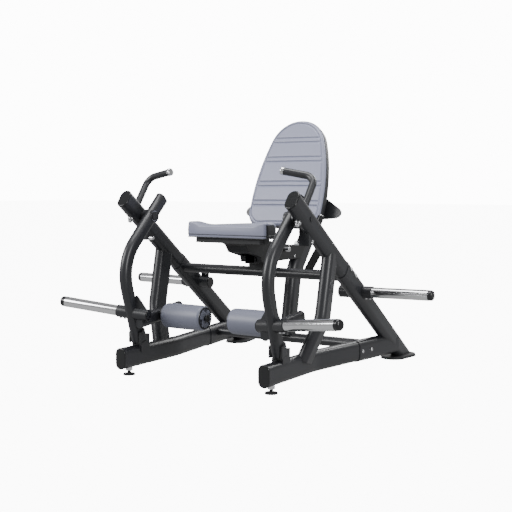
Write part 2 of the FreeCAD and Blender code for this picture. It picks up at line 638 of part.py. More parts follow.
# lock pin and its sleeve on the carriage's right side
PIN_DEPTH, PIN_HEIGHT, PIN_SLEEVE = 732, 566, 20
pin_place = facing(at(dim("rail_wide") / 2 + slide_gap, PIN_DEPTH, PIN_HEIGHT), X_AXIS, Z_AXIS)
pin_bore = cylinder("Sheet.pin_radius + Sheet.fit_gap", "100", pin_place)
pin_sleeve = ring("Sheet.pin_radius + 6", "Sheet.pin_radius + Sheet.fit_gap", str(PIN_SLEEVE),
                  facing(at(carriage_side, PIN_DEPTH, PIN_HEIGHT), X_AXIS, Z_AXIS))
knob_start = carriage_side + PIN_SLEEVE + 0.5
pin_rod = cylinder("Sheet.pin_radius", str(knob_start - dim("rail_wide") / 2 - slide_gap), pin_place)
pin_knob = round_cap("Sheet.pin_radius + 6", "26",
                     facing(at(knob_start, PIN_DEPTH, PIN_HEIGHT), X_AXIS, Z_AXIS), 4)

# hand lever behind the crossbar, turning on a pin that stands out of it
LEVER_SIDE, LEVER_GAP, LEVER_SHEET, LEVER_HALF, LEVER_LONG = 239, 3, 8, 20, 168
cross_rear = dim("crossbar_depth") + dim("bar_tall") / 2
lever_heading = Vector(0.503, 0, 0.864).normalize()
lever_place = facing(at(LEVER_SIDE, cross_rear + LEVER_GAP, dim("crossbar_height")), Y_AXIS, lever_heading)
lever_blade = plate("LeverBlade", [(-LEVER_HALF, 0), (LEVER_HALF, 0), (LEVER_HALF, LEVER_LONG),
                                   (-LEVER_HALF, LEVER_LONG)], str(LEVER_SHEET), lever_place)
lever_eye = cylinder(str(LEVER_HALF), str(LEVER_SHEET), lever_place)
PIVOT_PIN = 8
lever_hole = cylinder(f"{PIVOT_PIN} + Sheet.fit_gap", "40", lever_place)
lever_bare = cut(fuse(lever_blade, lever_eye), lever_hole)
grip_place = facing(lever_place.Base + Y_AXIS * LEVER_SHEET / 2 + lever_heading * (LEVER_LONG - 4),
                    lever_heading, Y_AXIS)
GRIP_LONG = 46
lever_grip = cut(rounded(straight_oval("LeverGrip", "24", "46", GRIP_LONG, grip_place), 6,
                         far_edges(grip_place, GRIP_LONG)), lever_blade)
lever_pin = fuse(cylinder(str(PIVOT_PIN), "30", facing(lever_place.Base - Y_AXIS * 14, Y_AXIS, X_AXIS)),
                 bolt_head(lever_place.Base + Y_AXIS * (LEVER_SHEET + 1), Y_AXIS, 13, 7))
lever_pin = cut(lever_pin, crossbar_solid)

# ---------------------------------------------------------------- lever arms
arm_side = dim("arm_side")


def arm_point(depth, height):
    return Vector(arm_side, depth, height)


back_angle, tuck = math.radians(dim("arm_lean")), math.radians(dim("arm_tuck"))
toward_top = Vector(0, math.sin(back_angle), math.cos(back_angle))
toward_foot = Vector(0, math.sin(tuck), -math.cos(tuck))
arm_top = arm_point(pivot.y, pivot.z) + toward_top * dim("arm_top")
arm_foot = at(arm_side, dim("arm_foot_depth"), dim("arm_foot_height"))
gap = arm_foot - arm_top
spread = toward_top.y * toward_foot.z - toward_top.z * toward_foot.y
drop = (gap.y * toward_foot.z - gap.z * toward_foot.y) / spread
arm_corner = arm_top + toward_top * drop
arm_points = [arm_top, arm_corner, arm_foot]
ARM_SIZE = ("Sheet.arm_wide", "Sheet.arm_tall")
arm_full = bent_tube("Arm", oval_section(*ARM_SIZE, STEEL_WALL), arm_points, "Sheet.arm_bend")
arm_solid = bent_tube("ArmSolid", oval_section(*ARM_SIZE), arm_points, "Sheet.arm_bend")


def out_of(heading):
    """The direction across a heading, within the arm's plane."""
    return heading.cross(X_AXIS)


def on_arm(height):
    """The middle of the arm's lower run at a height."""
    return arm_foot + toward_foot * ((height - arm_foot.z) / toward_foot.z)


horn_centre = on_arm(dim("horn_height"))
sleeve, sleeve_outline, horn_bar, horn_cap, sleeve_plug = horn_set(
    horn_centre, horn_heading, dim("horn_inner"), dim("horn_collar"), dim("horn_tip"), dim("horn_cap"))

HUB_START, HUB_LENGTH = 360, 51.6
hub_place = facing(Vector(HUB_START, pivot.y, pivot.z), X_AXIS, Z_AXIS)
hub = ring("Sheet.bearing_radius + 4", "Sheet.bearing_radius", str(HUB_LENGTH), hub_place)
hub_outline = cylinder("Sheet.bearing_radius + 4", str(HUB_LENGTH), hub_place)


def bearing(start):
    return ring("Sheet.bearing_radius", "Sheet.shaft_radius + Sheet.fit_gap", "Sheet.bearing_thick",
                facing(Vector(start, pivot.y, pivot.z), X_AXIS, Z_AXIS))


bearings = group(bearing(HUB_START + 1), bearing(HUB_START + HUB_LENGTH - 1 - dim("bearing_thick")))

# roller carrier: a capped bar welded behind the arm, with the roller's axle in its middle
carrier_side = arm_side - dim("arm_wide") / 2 - dim("carrier_wide") / 2 + 2
carrier_heading = Vector(0, 1, 0.103).normalize()
axle_spot = at(carrier_side, dim("roller_depth"), dim("roller_height"))
CARRIER_BACK, CARRIER_LENGTH = 158, 314
carrier_start = axle_spot - carrier_heading * CARRIER_BACK
carrier_place = facing(carrier_start, carrier_heading, Z_AXIS)
CARRIER_SIZE = ("Sheet.carrier_wide", "Sheet.carrier_tall")
carrier = straight_oval("Carrier", *CARRIER_SIZE, CARRIER_LENGTH, carrier_place, STEEL_WALL)
carrier_cap = oval_cap(*CARRIER_SIZE,
                       facing(carrier_start + carrier_heading * CARRIER_LENGTH, carrier_heading, Z_AXIS))
carrier_lid = straight_oval("CarrierLid", *CARRIER_SIZE, "4", carrier_place)
AXLE_INNER = dim("roller_inner") - 8
axle = cylinder("Sheet.axle_radius", str(carrier_side + 24 - AXLE_INNER),
                facing(Vector(AXLE_INNER, axle_spot.y, axle_spot.z), X_AXIS, Z_AXIS))
axle_end = round_cap("Sheet.axle_radius + 5", "8",
                     facing(Vector(AXLE_INNER, axle_spot.y, axle_spot.z), X_AXIS * -1, Z_AXIS), 3)

GUSSET_SHEET = 8
gusset_turn = Rotation(horn_heading * -1, Z_AXIS, Vector(0, 0, 0), "XYZ")
gusset_middle = gusset_turn.multVec(Z_AXIS) * (GUSSET_SHEET / 2)
gusset = plate("Gusset", [(10, 26), (74, 26), (20, 84), (10, 84)], str(GUSSET_SHEET),
               Placement(horn_centre - gusset_middle, gusset_turn))
horn_weldment = fuse(sleeve, cut(gusset, arm_solid, sleeve_outline))
arm_tube = cut(arm_full, sleeve_outline, hub_outline)
carrier_piece = cut(fuse(carrier, carrier_lid, axle), arm_solid, sleeve_outline, gusset)
arm_caps = [oval_cap(*ARM_SIZE, facing(arm_top, toward_top, -out_of(toward_top))),
            oval_cap(*ARM_SIZE, facing(arm_foot, toward_foot, out_of(toward_foot)))]
horn_bolts = [bolt_head(horn_centre + horn_heading * along - Z_AXIS * (dim("sleeve_radius") - 0.5),
                        Z_AXIS * -1, 6, 5) for along in (38, 60)]

# shin roller: foam on a core with a stepped disc at each end
roller_start, roller_end = dim("roller_inner"), dim("roller_outer")


def roller_place(start):
    return facing(Vector(start, axle_spot.y, axle_spot.z), X_AXIS, Z_AXIS)


roller_span = "Sheet.roller_outer - Sheet.roller_inner"
axle_bore = cylinder("Sheet.axle_radius + Sheet.fit_gap", "400", roller_place(roller_start - 30))
core = cylinder("Sheet.core_radius", roller_span, roller_place(roller_start))
inner_disc = cylinder("Sheet.disc_radius", "Sheet.disc_thick", roller_place(roller_start))
outer_disc = cylinder("Sheet.disc_radius", "Sheet.disc_thick", roller_place(roller_end - dim("disc_thick")))
roller_core = cut(fuse(core, inner_disc, outer_disc), axle_bore)
foam_round = cylinder("Sheet.roller_radius", roller_span, roller_place(roller_start))
foam_soft = rounded(foam_round, 14, lambda edge: len(edge.Vertexes) == 1)
roller_pad = cut(foam_soft, core, inner_disc, outer_disc)

# cradle that catches the arm's foot from behind, lined with rubber and open to the front
cradle_centre = on_arm(176)
CRADLE_GAP, LINING, CRADLE_SHELL, CRADLE_TALL, CRADLE_MOUTH = 1, 6, 5, 48, 96
cradle_low = facing(cradle_centre + toward_foot * CRADLE_TALL / 2, toward_foot * -1, Y_AXIS)


def cradle_fill(extra, tall, place):
    """The arm's outline grown by a margin and drawn out toward the front."""
    half = dim("arm_wide") / 2 + extra
    jaws = box(str(2 * half), "70", str(tall), place * Placement(Vector(-half, -70, 0), Rotation()))
    return fuse(straight_oval("CradleOutline", f"Sheet.arm_wide + {2 * extra}", f"Sheet.arm_tall + {2 * extra}",
                              str(tall), place), jaws)


mouth = box("200", "200", "300", Placement(at(arm_side - 100, CRADLE_MOUTH - 200, 60), Rotation()))
lining = cut(cradle_fill(CRADLE_GAP + LINING, CRADLE_TALL, cradle_low),
             cradle_fill(CRADLE_GAP, CRADLE_TALL, cradle_low), mouth)
cradle_cup = cut(cradle_fill(CRADLE_GAP + LINING + CRADLE_SHELL, CRADLE_TALL, cradle_low),
                 cradle_fill(CRADLE_GAP + LINING, CRADLE_TALL, cradle_low), mouth)
keep_out_low = facing(arm_foot + toward_foot * (CAP_THICK + 3), toward_foot * -1, Y_AXIS)
keep_out = cradle_fill(CRADLE_GAP + LINING, 160, keep_out_low)
pedestal_block = box("56", "62", "82", Placement(at(arm_side - 28, 112, 100), Rotation()))
pedestal = cut(pedestal_block, base_solid, keep_out)
print("geometry drawn")

# ---------------------------------------------------------------- levelling feet
LEVELLER_PLATE = 8
leveller_spot = at(dim("base_side"), dim("leveller_depth"), 0)
leveller_place = Placement(leveller_spot, Rotation())
base_low = dim("base_height") - dim("base_tall") / 2
leveller_disc = round_cap("Sheet.leveller_disc", str(LEVELLER_PLATE), leveller_place, 3)
leveller_stem = cylinder("Sheet.leveller_stem", str(base_low + 12), leveller_place)
leveller = fuse(leveller_disc, leveller_stem)
nut_place = Placement(leveller_spot + Z_AXIS * (base_low - 12), Rotation())
leveller_nut = cut(cylinder("Sheet.leveller_stem + 8", "20", nut_place), base_solid,
                   cylinder("Sheet.leveller_stem + Sheet.fit_gap", "20", nut_place))

# ---------------------------------------------------------------- nodes: side frames
shaft_hole = cylinder("Sheet.shaft_radius", "200", shaft_place)
root_hole = cylinder("Sheet.handle_radius", "140", facing(on_tube(HANDLE_ALONG, -70), off_tube, X_AXIS))
stem_hole = cylinder("Sheet.leveller_stem + Sheet.fit_gap", str(base_low + 20), leveller_place)
pair("base_tube", cut(base_tube, stem_hole))
pair("upper_tube", cut(upper_tube, shaft_hole, root_hole))
pair("rear_tube", cut(rear_tube, ground_block, store_outline, upper_solid))
keep("base_sockets", group(*both(cut(socket, base_solid, rear_solid))))
pair("post", cut(post_tube, base_solid, upper_solid))
keep("upper_crossbar", cut(crossbar, *both(rear_solid), *both(upper_solid), lever_pin))
keep("lower_crossbar", cut(low_bar, *both(socket_solid)))
keep("mast", cut(mast, low_bar_solid))
keep("rear_feet", group(*both(foot_plate)))
keep("rear_foot_pads", group(*both(foot_pad)))
keep("pivot_shafts", group(*both(pivot_shaft)))

base_cap = oval_cap("Sheet.base_wide", "Sheet.base_tall", facing(base_front, Y_AXIS * -1, Z_AXIS))
upper_cap = oval_cap("Sheet.upper_wide", "Sheet.upper_tall", facing(on_tube(0), down_tube * -1, off_tube))
caps = [base_cap, upper_cap, store_cap, store_plug]
keep("frame_caps", group(mast_cap, *[twin for cap in caps for twin in both(cap)]))

face = dim("rear_wide") / 2 - 0.5
splice_bolts = [bolt_head(on_tube(along, 22, face), side_of_tube) for along in (566, 622)]
across_splay = splayed.cross(Z_AXIS)
socket_face = dim("base_wide") / 2 + dim("collar_wall") - 0.5
socket_bolts = [bolt_head(socket_start + splayed * along + across_splay * socket_face, across_splay)
                for along in (20, 95)]
frame_bolts = [cut(bolt, rear_solid) for bolt in splice_bolts]
frame_bolts += [cut(bolt, socket_solid) for bolt in socket_bolts]
store_bolts = [cut(bolt_head(store_centre + store_heading * along - Z_AXIS * (dim("sleeve_radius") - 0.5),
                             Z_AXIS * -1, 6, 5), store_outline) for along in (42, 62)]
rail_bolt = bolt_head(at(dim("rail_wide") / 2, 878, 521), X_AXIS, 7, 5)
frame_hardware = frame_bolts + store_bolts + [leveller_nut, rail_bolt, lug_bolt]
keep("frame_bolts", group(lever_pin, *[twin for piece in frame_hardware for twin in both(piece)]))

cradle = fuse(cradle_cup, pedestal)
keep("arm_stops", group(*both(cradle), *both(stop_bracket)))
keep("rubber_stops", group(*both(lining)))
keep("storage_sleeves", group(*both(fuse(store_sleeve, store_lug))))
keep("storage_horns", group(*both(store_bar)))
keep("handles", group(*both(handle)))
chrome = [handle_cap, handle_nut, stop_nut, stop_top, stop_buffer]
keep("chrome_fittings", group(*[twin for piece in chrome for twin in both(piece)]))
keep("stop_knobs", group(*both(stop_knob)))

# ---------------------------------------------------------------- nodes: seat
keep("seat_rail", fuse(cut(rail, mast_solid), rail_block))
keep("seat_bracket", seat_bracket)
keep("seat_board", seat_board)
keep("seat_cushion", seat_cushion)
keep("hand_lever", lever_bare)
keep("lever_grip", lever_grip)

pinned = cut(fuse(carriage, pin_sleeve), pin_bore)
keep("seat_carriage", pinned)
keep("carriage_liner", cut(liner, pin_bore))

# ---------------------------------------------------------------- nodes: back rest
keep("hip_plate", fuse(wing_plate, *webs))
keep("back_shell", back_shell)
keep("back_cushion", back_cushion)
plate_rear = behind_front(shell_back + WING_GAP + WING_SHEET)
back_bolts = [bolt_head(plate_rear + X_AXIS * x + up_back * y, out_back * -1, 8, 5)
              for x in (-95, 95) for y in (90, 200)]
keep("back_bolts", group(*back_bolts))
keep("lock_pin", fuse(pin_rod, pin_knob))

# ---------------------------------------------------------------- nodes: moving side pieces
pair("leveller", leveller)
pair("arm_tube", fuse(arm_tube, hub))
pair("arm_caps", group(*arm_caps, sleeve_plug, carrier_cap, horn_cap))
pair("arm_bearings", bearings)
pair("horn_sleeve", horn_weldment)
pair("horn", horn_bar)
pair("arm_fasteners", group(axle_end, *[cut(bolt, sleeve_outline) for bolt in horn_bolts]))
pair("roller_carrier", carrier_piece)
pair("roller_core", roller_core)
pair("roller_pad", roller_pad)

# ---------------------------------------------------------------- checks and export
doc.recompute()
os.makedirs("parts", exist_ok=True)
faults = [item.Label for item in doc.Objects if "Invalid" in item.State or "Error" in item.State]
assert not faults, faults
for name, thing in parts.items():
    assert not thing.Shape.isNull() and thing.Shape.isValid(), name
    thing.Shape.exportStep(f"parts/{name}.step")
    limits = thing.Shape.BoundBox
    print(f"{name:20s} solids {len(thing.Shape.Solids)} volume {thing.Shape.Volume / 1000:9.1f} cm3 "
          f"x {limits.XMin:.0f} {limits.XMax:.0f} y {limits.YMin:.0f} {limits.YMax:.0f} "
          f"z {limits.ZMin:.0f} {limits.ZMax:.0f}")
print(len(parts), "nodes")
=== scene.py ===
import math

import bpy
import numpy as np
from mathutils import Matrix, Vector


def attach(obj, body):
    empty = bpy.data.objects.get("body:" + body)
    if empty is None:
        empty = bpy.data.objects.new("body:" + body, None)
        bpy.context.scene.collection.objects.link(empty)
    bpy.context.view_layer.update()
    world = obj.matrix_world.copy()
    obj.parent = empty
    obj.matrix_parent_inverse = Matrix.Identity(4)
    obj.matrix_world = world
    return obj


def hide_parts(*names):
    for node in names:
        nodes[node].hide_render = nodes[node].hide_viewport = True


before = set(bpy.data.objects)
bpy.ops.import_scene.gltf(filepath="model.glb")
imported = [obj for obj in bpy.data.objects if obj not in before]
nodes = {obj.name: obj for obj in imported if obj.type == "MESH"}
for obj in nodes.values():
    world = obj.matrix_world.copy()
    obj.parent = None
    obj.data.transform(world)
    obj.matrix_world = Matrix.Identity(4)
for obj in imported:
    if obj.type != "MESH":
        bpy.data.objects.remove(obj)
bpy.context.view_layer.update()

# %% [markdown]
# Depths on the machine are easiest to read from the front of its base tubes, so one helper moves them
# into the frame, whose origin is in the middle of the floor plan.
# %% Shared helpers
MID_DEPTH = 626.3


def spot(side, depth, height):
    """A point in metres from millimetres, with its depth measured from the front of the base tubes."""
    return Vector((side / 1000, (depth - MID_DEPTH) / 1000, height / 1000))


def linear(hex_colour):
    """Linear RGBA from an sRGB hex value."""
    channels = [int(hex_colour[i:i + 2], 16) / 255 for i in (1, 3, 5)]
    return (*[c / 12.92 if c <= 0.04045 else ((c + 0.055) / 1.055) ** 2.4 for c in channels], 1.0)


def add_node(material, kind, settings=None, **links):
    """Adds a shader node. Each link is a socket with a value, or with another node's output."""
    made = material.node_tree.nodes.new(kind)
    for key, value in (settings or {}).items():
        setattr(made, key, value)
    for key, value in links.items():
        socket = made.inputs[key.replace("_", " ")]
        if isinstance(value, bpy.types.NodeSocket):
            material.node_tree.links.new(value, socket)
        else:
            socket.default_value = value
    return made


def new_material(name, colour, roughness, metallic=0.0, **sockets):
    """A principled material with constants on its own sockets."""
    material = bpy.data.materials.new(name)
    material.use_nodes = True
    shader = material.node_tree.nodes["Principled BSDF"]
    shader.inputs["Base Color"].default_value = linear(colour)
    shader.inputs["Roughness"].default_value = roughness
    shader.inputs["Metallic"].default_value = metallic
    for key, value in sockets.items():
        shader.inputs[key.replace("_", " ")].default_value = value
    return material, shader


def grain(material, shader, size_mm, depth_mm, kind="noise", spread=0.0, soft_edge_mm=0.0):
    """Surface relief of a real size, and roughness that wanders by the spread."""
    place = add_node(material, "ShaderNodeTexCoord").outputs["Object"]
    if kind == "noise":
        relief = add_node(material, "ShaderNodeTexNoise", Vector=place, Scale=1000 / size_mm, Detail=3.0)
        height = relief.outputs["Fac"]
    else:
        relief = add_node(material, "ShaderNodeTexVoronoi", {"feature": "DISTANCE_TO_EDGE"},
                          Vector=place, Scale=1000 / size_mm)
        height = add_node(material, "ShaderNodeMath", {"operation": "MINIMUM"}).outputs["Value"]
        limit = height.node
        limit.inputs[1].default_value = 0.22
        material.node_tree.links.new(relief.outputs["Distance"], limit.inputs[0])
    bump = add_node(material, "ShaderNodeBump", Height=height, Distance=depth_mm / 1000, Strength=1.0)
    if soft_edge_mm:
        edge = add_node(material, "ShaderNodeBevel", {"samples": 4}, Radius=soft_edge_mm / 1000)
        material.node_tree.links.new(edge.outputs["Normal"], bump.inputs["Normal"])
    material.node_tree.links.new(bump.outputs["Normal"], shader.inputs["Normal"])
    if spread:
        cloud = add_node(material, "ShaderNodeTexNoise", Vector=place, Scale=9.0, Detail=4.0)
        middle = shader.inputs["Roughness"].default_value
        ramp = add_node(material, "ShaderNodeMapRange", To_Min=middle - spread, To_Max=middle + spread)
        material.node_tree.links.new(cloud.outputs["Fac"], ramp.inputs["Value"])
        material.node_tree.links.new(ramp.outputs["Result"], shader.inputs["Roughness"])
    return material


# %% [markdown]
# The tubes wear a charcoal powder coat: a satin skin with the fine orange-peel relief of baked powder.
# The seat mechanism has the same coat in black.
# %% Painted steel
charcoal, shader = new_material("charcoal_powder_coat", "#1F2024", 0.38, IOR=1.5, Coat_Weight=0.15,
                                Coat_Roughness=0.2)
grain(charcoal, shader, 1.6, 0.02, spread=0.05, soft_edge_mm=0.7)
black_paint, shader = new_material("black_powder_coat", "#131416", 0.42, IOR=1.5)
grain(black_paint, shader, 1.6, 0.02, spread=0.05, soft_edge_mm=0.7)
print(charcoal.name, black_paint.name)

# %% [markdown]
# Horn bars, handle ends and fasteners are chrome plated. Bearings and the back's bolts are turned
# steel with zinc plate, a little duller.
# %% Bright metal
chrome, shader = new_material("polished_chrome", "#D9DADC", 0.09, metallic=1.0)
grain(chrome, shader, 3.0, 0.003, spread=0.03, soft_edge_mm=0.6)
zinc, shader = new_material("zinc_plated_steel", "#A9ABAF", 0.34, metallic=1.0)
grain(zinc, shader, 0.8, 0.006, spread=0.08, soft_edge_mm=0.5)
print(chrome.name, zinc.name)

# %% [markdown]
# Caps are glossy moulded plastic. The roller discs, the back shell and the liner are the matt kind, with
# a spark-eroded texture. Pads under the feet and the stops are black rubber.
# %% Plastic and rubber
gloss_plastic, shader = new_material("gloss_black_plastic", "#141517", 0.20, IOR=1.49)
grain(gloss_plastic, shader, 6.0, 0.01, spread=0.04, soft_edge_mm=0.5)
matt_plastic, shader = new_material("matt_black_plastic", "#1C1D20", 0.52, IOR=1.49)
grain(matt_plastic, shader, 0.5, 0.02, spread=0.05, soft_edge_mm=0.6)
rubber, shader = new_material("black_rubber", "#17181A", 0.72, IOR=1.52)
grain(rubber, shader, 1.0, 0.03, spread=0.06, soft_edge_mm=0.8)
print(gloss_plastic.name, matt_plastic.name, rubber.name)

# %% [markdown]
# The upholstery is coated vinyl with a fine leather grain: silver grey on the faces that the user
# touches, black on the sides. The rollers have the closed skin of moulded foam.
# %% Upholstery
silver_vinyl, shader = new_material("silver_grey_vinyl", "#83869A", 0.36, IOR=1.5, Sheen_Weight=0.08)
grain(silver_vinyl, shader, 1.1, 0.05, kind="leather", spread=0.05)
black_vinyl, shader = new_material("black_vinyl", "#1D1E22", 0.44, IOR=1.5)
grain(black_vinyl, shader, 1.1, 0.05, kind="leather", spread=0.05)
thread, shader = new_material("grey_thread", "#85878F", 0.7, IOR=1.5)
grain(thread, shader, 0.4, 0.05)
foam_skin, shader = new_material("grey_foam_skin", "#6E7180", 0.45, IOR=1.5)
grain(foam_skin, shader, 1.4, 0.05, spread=0.06)
print(silver_vinyl.name, black_vinyl.name, foam_skin.name)

# %% [markdown]
# Each solid gets its finish by name. The buttons on the roller axles are plastic, the bolts beside them
# chrome. Curved faces are shaded smooth, and edges that turn by more than 28 degrees stay sharp.
# %% Dress the solids
FINISHES = {
    "chrome_fittings": chrome, "storage_horns": chrome, "frame_bolts": chrome, "back_bolts": zinc,
    "lock_pin": chrome, "pivot_shafts": matt_plastic, "right_leveller": rubber, "left_leveller": rubber,
    "frame_caps": gloss_plastic, "stop_knobs": gloss_plastic, "lever_grip": matt_plastic,
    "rubber_stops": rubber, "rear_foot_pads": rubber, "back_shell": matt_plastic,
    "carriage_liner": matt_plastic, "seat_rail": black_paint, "seat_bracket": black_paint,
    "seat_carriage": black_paint, "hand_lever": black_paint, "seat_board": black_vinyl,
}
SIDE_FINISHES = {"horn": chrome, "arm_fasteners": chrome, "arm_caps": gloss_plastic, "arm_bearings": zinc}


def finish_of(name):
    if name in FINISHES:
        return FINISHES[name]
    return SIDE_FINISHES.get(name.split("_", 1)[-1], charcoal)


SHARP_FROM = math.radians(28)
AXLE_REACH = 0.1
for name, solid in nodes.items():
    solid.data.materials.clear()
    solid.data.materials.append(finish_of(name))
    solid.data.shade_smooth()
    solid.data.set_sharp_from_angle(angle=SHARP_FROM)
for side in ("right", "left"):
    fasteners = nodes[side + "_arm_fasteners"].data
    fasteners.materials.append(gloss_plastic)
    for polygon in fasteners.polygons:
        if abs(polygon.center.x) < AXLE_REACH:
            polygon.material_index = 1
print("dressed", len(nodes), "solids")

# %% [markdown]
# Upholstered shapes grow from an outline. Rings run from the middle of the face to its edge, roll over
# the edge and go down the side, and a height function gives the face its swells and channels.
# %% Make a padded shape
def padded_mesh(name, outline, place, face_height, thick, edge, rings=110, band=0.62, groove=None,
                dark_side=None):
    """A cushion whose local Z points out of its face.

    The side is black below the band, and from top to bottom where dark_side says so of its direction.
    A groove is (distance inside the edge, depth, half width) of a seam that follows the outline.
    """
    outline = np.array(outline)
    centre = np.array([0.0, outline[:, 1].mean()])
    count = len(outline)
    reach = np.linalg.norm(outline - centre, axis=1)
    along = np.roll(outline, -1, axis=0) - np.roll(outline, 1, axis=0)
    outward = np.column_stack([along[:, 1], -along[:, 0]]) / np.linalg.norm(along, axis=1)[:, None]
    dark = [bool(dark_side and dark_side(*direction)) for direction in outward]
    layers, kinds = [], []
    for step in range(1, rings + 1):
        share = 1 - (1 - step / rings) ** 1.35
        flat = centre + (outline - centre) * share
        inset = reach * (1 - share)
        drop = np.where(inset < edge, edge - np.sqrt(np.maximum(edge ** 2 - (edge - inset) ** 2, 0)), 0)
        height = face_height(flat[:, 0], flat[:, 1]) - drop
        if groove:
            height = height - groove[1] * np.exp(-((inset - groove[0]) / groove[2]) ** 2)
        layers.append(np.column_stack([flat, height]))
        kinds.append(0)
    rim = layers[-1][:, 2].copy()
    for down in np.linspace(0, 1, 14)[1:]:
        bulge = 0.0025 * math.sin(math.pi * down)
        grown = centre + (outline - centre) * (1 + bulge / reach[:, None])
        low = rim + (-thick - rim) * down
        layers.append(np.column_stack([grown, low]))
        kinds.append(1 if down > band else 0)
    verts = [[*centre, float(face_height(centre[:1], centre[1:])[0])]]
    for layer in layers:
        verts.extend(layer.tolist())
    verts.append([*centre, -thick])
    faces, slots = [], []
    for i in range(count):
        faces.append((0, 1 + i, 1 + (i + 1) % count))
        slots.append(0)
    for k in range(len(layers) - 1):
        for i in range(count):
            j = (i + 1) % count
            here, there = 1 + k * count, 1 + (k + 1) * count
            faces.append((here + i, there + i, there + j, here + j))
            slots.append(1 if k + 1 >= rings and dark[i] else kinds[k + 1])
    last, back = 1 + (len(layers) - 1) * count, len(verts) - 1
    for i in range(count):
        faces.append((last + i, back, last + (i + 1) % count))
        slots.append(1)
    mesh = bpy.data.meshes.new(name)
    mesh.from_pydata(verts, [], faces)
    mesh.polygons.foreach_set("material_index", slots)
    mesh.shade_smooth()
    cushion = bpy.data.objects.new(name, mesh)
    bpy.context.scene.collection.objects.link(cushion)
    mesh.transform(place)
    mesh.materials.append(silver_vinyl)
    mesh.materials.append(black_vinyl)
    return cushion


def rounded_corners(corners, radius, count):
    """Evenly spaced points round a polygon with rounded corners, counterclockwise."""
    points = []
    corners = [Vector(corner) for corner in corners]
    for before, corner, after in zip(corners[-1:] + corners[:-1], corners, corners[1:] + corners[:1]):
        arriving, leaving = (corner - before).normalized(), (after - corner).normalized()
        half_turn = arriving.angle(leaving) / 2
        middle = corner + (leaving - arriving).normalized() * radius / math.cos(half_turn)
        start = math.atan2(-arriving.x, arriving.y)
        for k in range(25):
            angle = start - math.pi + 2 * half_turn * k / 24
            points.append((middle.x - radius * math.cos(angle), middle.y - radius * math.sin(angle)))
    return evenly(points, count)


def evenly(points, count):
    """The same closed line with evenly spaced points."""
    loop = np.array(points + points[:1])
    length = np.concatenate([[0], np.cumsum(np.linalg.norm(np.diff(loop, axis=0), axis=1))])
    wanted = np.linspace(0, length[-1], count, endpoint=False)
    return np.column_stack([np.interp(wanted, length, loop[:, i]) for i in (0, 1)])


def smooth_step(value, low, high):
    share = np.clip((value - low) / (high - low), 0, 1)
    return share * share * (3 - 2 * share)


# %% [markdown]
# The seat is a flat cushion, square in front and drawn in toward the back rest. A roll is raised at each
# front corner. Its sides are black, and a black seam runs round it above a narrow silver lip.
# %% Seat cushion
SEAT_THICK, SEAT_EDGE = 0.058, 0.010
SEAT_CORNERS = [(0.220, 0.0), (0.220, 0.075), (0.075, 0.325), (-0.075, 0.325), (-0.220, 0.075), (-0.220, 0.0)]
seat_outline = rounded_corners(SEAT_CORNERS, 0.018, 420)
seat_place = Matrix.Translation(spot(0, 290, 698))


def seat_height(x, y):
    roll = smooth_step(np.abs(x), 0.142, 0.196) * 0.018 * (1 - smooth_step(y, 0.05, 0.16))
    crown = 0.003 * (1 - (x / 0.22) ** 2)
    return roll + crown - 0.003


seat = padded_mesh("seat_cushion_vinyl", seat_outline, seat_place, seat_height, SEAT_THICK, SEAT_EDGE,
                   band=1.1, groove=(0.016, 0.0015, 0.003), dark_side=lambda x, y: abs(x) > 0.75)
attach(seat, "seat")
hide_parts("seat_cushion")
print("seat", len(seat.data.vertices), "vertices")

# %% [markdown]
# The back rest is egg shaped and leans 21 degrees. Four pairs of stitched channels cross its face.
# %% Back cushion
LEAN = math.radians(21)
UP_BACK = Vector((0, math.sin(LEAN), math.cos(LEAN)))
OUT_BACK = Vector((0, -math.cos(LEAN), math.sin(LEAN)))
back_turn = Matrix((Vector((1, 0, 0)), UP_BACK, OUT_BACK)).transposed().to_4x4()
back_place = Matrix.Translation(spot(0, 783, 683)) @ back_turn
CHANNELS, PAIR_GAP, BORDER = (0.1186, 0.2236, 0.3578, 0.4636), 0.012, 0.019


def arc_through(start, middle, end, steps=24):
    """Points along the circle through three points."""
    (ax, ay), (bx, by), (cx, cy) = start, middle, end
    d = 2 * (ax * (by - cy) + bx * (cy - ay) + cx * (ay - by))
    a2, b2, c2 = ax * ax + ay * ay, bx * bx + by * by, cx * cx + cy * cy
    ux = (a2 * (by - cy) + b2 * (cy - ay) + c2 * (ay - by)) / d
    uy = (a2 * (cx - bx) + b2 * (ax - cx) + c2 * (bx - ax)) / d
    radius = math.hypot(ax - ux, ay - uy)
    first, last = math.atan2(ay - uy, ax - ux), math.atan2(cy - uy, cx - ux)
    if last < first:
        last += 2 * math.pi
    return [(ux + radius * math.cos(first + (last - first) * k / steps),
             uy + radius * math.sin(first + (last - first) * k / steps)) for k in range(steps + 1)]


def back_points():
    """The egg outline, counterclockwise from the right end of its head."""
    head, high = 0.160, 0.416
    shoulder = math.atan2(0.053, 0.151)
    neck = (head * math.cos(shoulder), high + head * math.sin(shoulder))
    points = [(head * math.cos(a), high + head * math.sin(a))
              for a in np.linspace(shoulder, math.pi - shoulder, 60)]
    points += arc_through((-neck[0], neck[1]), (-0.201, 0.258), (-0.208, 0.088), 40)
    points += arc_through((-0.208, 0.088), (-0.193, 0.028), (-0.150, 0.0))
    points += arc_through((0.150, 0.0), (0.193, 0.028), (0.208, 0.088))
    points += arc_through((0.208, 0.088), (0.201, 0.258), neck, 40)
    return evenly(points, 520)


back_outline = back_points()
right_edge = back_outline[back_outline[:, 0] > 0]
right_edge = right_edge[np.argsort(right_edge[:, 1])]


